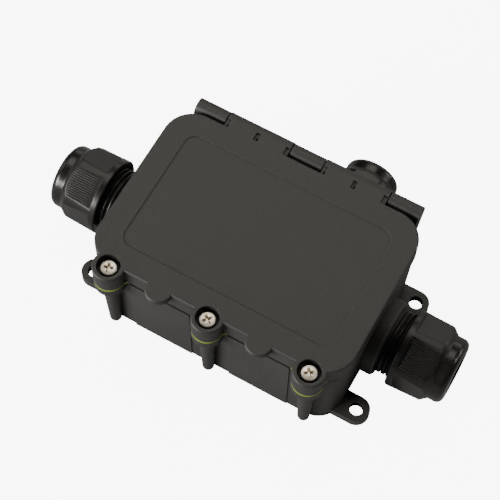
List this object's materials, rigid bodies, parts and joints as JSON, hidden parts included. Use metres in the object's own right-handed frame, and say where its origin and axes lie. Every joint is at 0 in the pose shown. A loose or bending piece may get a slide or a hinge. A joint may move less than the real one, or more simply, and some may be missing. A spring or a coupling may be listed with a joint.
{
  "type": "junction box",
  "caption": "Waterproof plastic junction box with a hinged screw-down lid, lime sealing gasket, mounting lugs and domed cable glands on both ends and the back",
  "frame": {"origin": "centre of the four mounting holes, on the flat underside that lies on the mounting surface", "axes": "+X towards the right gland, +Y towards the hinge and the back gland, +Z out of the mounting surface towards the lid"},
  "size_m": [0.1648, 0.0992, 0.046],
  "materials": {
    "shell_plastic": "fine moulded texture",
    "gland_plastic": "smooth nylon",
    "claw_plastic": "plain",
    "gasket_rubber": "satin",
    "seal_rubber": "matte",
    "screw_nickel": "bright plated",
    "pin_steel": "drawn",
    "terminal_plastic": "plain",
    "terminal_brass": "machined",
    "terminal_steel": "plated"
  },
  "bodies": {
    "base": {"base_body": "shell_plastic", "lid_gasket": "gasket_rubber", "hinge_pin": "pin_steel", "gland_claw_left": "claw_plastic", "gland_claw_right": "claw_plastic", "gland_claw_back": "claw_plastic", "gland_seal_left": "seal_rubber", "gland_seal_right": "seal_rubber", "gland_seal_back": "seal_rubber", "terminal_housing": "terminal_plastic", "terminal_clamp_1": "terminal_brass", "terminal_clamp_2": "terminal_brass", "terminal_clamp_3": "terminal_brass", "terminal_mounting_screws": "terminal_steel"},
    "lid": {"lid": "shell_plastic"},
    "lid_screw_left": {"lid_screw_left": "screw_nickel"},
    "lid_screw_middle": {"lid_screw_middle": "screw_nickel"},
    "lid_screw_right": {"lid_screw_right": "screw_nickel"},
    "gland_nut_left": {"gland_nut_left": "gland_plastic"},
    "gland_nut_right": {"gland_nut_right": "gland_plastic"},
    "gland_nut_back": {"gland_nut_back": "gland_plastic"},
    "terminal_screw_1": {"terminal_screw_1": "terminal_steel"},
    "terminal_screw_2": {"terminal_screw_2": "terminal_steel"},
    "terminal_screw_3": {"terminal_screw_3": "terminal_steel"},
    "terminal_screw_4": {"terminal_screw_4": "terminal_steel"},
    "terminal_screw_5": {"terminal_screw_5": "terminal_steel"},
    "terminal_screw_6": {"terminal_screw_6": "terminal_steel"}
  },
  "joints": [
    {"name": "lid_hinge", "type": "hinge", "parent": "base", "child": "lid", "pos_m": [0, 0.0383, 0.0423], "axis": [-1, 0, 0], "range_deg": [0, 180]},
    {"name": "lid_screw_left_travel", "type": "slide", "parent": "lid", "child": "lid_screw_left", "axis": [0, 0, 1], "range_m": [0, 0.016]},
    {"name": "lid_screw_middle_travel", "type": "slide", "parent": "lid", "child": "lid_screw_middle", "axis": [0, 0, 1], "range_m": [0, 0.016]},
    {"name": "lid_screw_right_travel", "type": "slide", "parent": "lid", "child": "lid_screw_right", "axis": [0, 0, 1], "range_m": [0, 0.016]},
    {"name": "gland_nut_left_turn", "type": "hinge", "parent": "base", "child": "gland_nut_left", "pos_m": [-0.0503, 0, 0.0184], "axis": [-1, 0, 0], "range_deg": [0, 1080]},
    {"name": "gland_nut_right_turn", "type": "hinge", "parent": "base", "child": "gland_nut_right", "pos_m": [0.0503, 0, 0.0184], "axis": [1, 0, 0], "range_deg": [0, 1080]},
    {"name": "gland_nut_back_turn", "type": "hinge", "parent": "base", "child": "gland_nut_back", "pos_m": [0.0198, 0.0339, 0.0184], "axis": [0, 1, 0], "range_deg": [0, 1080]},
    {"name": "terminal_screw_1_travel", "type": "slide", "parent": "base", "child": "terminal_screw_1", "axis": [0, 0, 1], "range_m": [0, 0.003]},
    {"name": "terminal_screw_2_travel", "type": "slide", "parent": "base", "child": "terminal_screw_2", "axis": [0, 0, 1], "range_m": [0, 0.003]},
    {"name": "terminal_screw_3_travel", "type": "slide", "parent": "base", "child": "terminal_screw_3", "axis": [0, 0, 1], "range_m": [0, 0.003]},
    {"name": "terminal_screw_4_travel", "type": "slide", "parent": "base", "child": "terminal_screw_4", "axis": [0, 0, 1], "range_m": [0, 0.003]},
    {"name": "terminal_screw_5_travel", "type": "slide", "parent": "base", "child": "terminal_screw_5", "axis": [0, 0, 1], "range_m": [0, 0.003]},
    {"name": "terminal_screw_6_travel", "type": "slide", "parent": "base", "child": "terminal_screw_6", "axis": [0, 0, 1], "range_m": [0, 0.003]}
  ]
}
